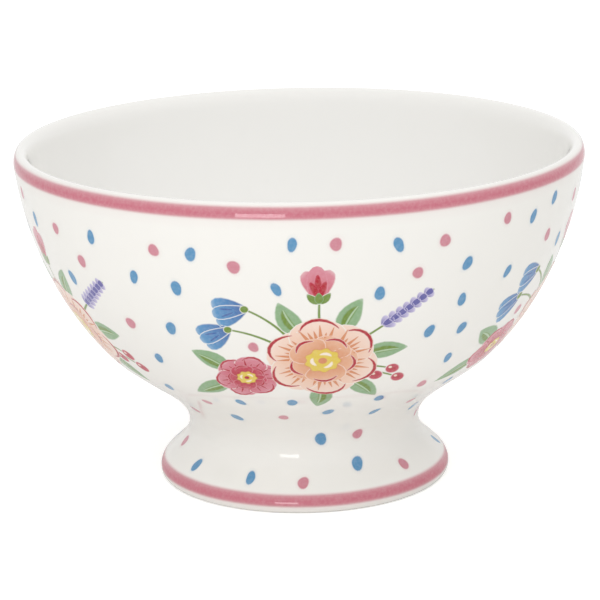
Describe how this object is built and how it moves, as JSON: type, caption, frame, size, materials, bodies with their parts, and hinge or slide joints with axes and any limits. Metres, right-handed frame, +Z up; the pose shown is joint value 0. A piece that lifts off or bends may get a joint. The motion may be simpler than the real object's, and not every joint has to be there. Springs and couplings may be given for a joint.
{
  "type": "tea bowl",
  "caption": "Round handle-less tea bowl on a flared hollow foot, glazed white, with colour bands at lip and foot and flower transfers round the wall.",
  "frame": {"origin": "centre of the standing ring's flat face", "axes": "+Z up along the bowl's axis, -Y towards the viewer of the picture"},
  "size_m": [0.1552, 0.1552, 0.0936],
  "materials": {
    "glazed_body": "clear gloss glaze over white stoneware",
    "slip": "fired slip, mostly hidden in the joint",
    "band_colour": "dusky pink band under the glaze, gloss",
    "print_colours": "printed flower colours under the glaze, gloss"
  },
  "bodies": {
    "root": {"bowl": "glazed_body", "pedestal_foot": "glazed_body", "lute_ring": "slip", "rim_band": "band_colour", "foot_band": "band_colour", "posy_transfer_1": "print_colours", "posy_transfer_2": "print_colours", "posy_transfer_3": "print_colours", "posy_transfer_4": "print_colours", "posy_transfer_5": "print_colours"}
  },
  "joints": []
}
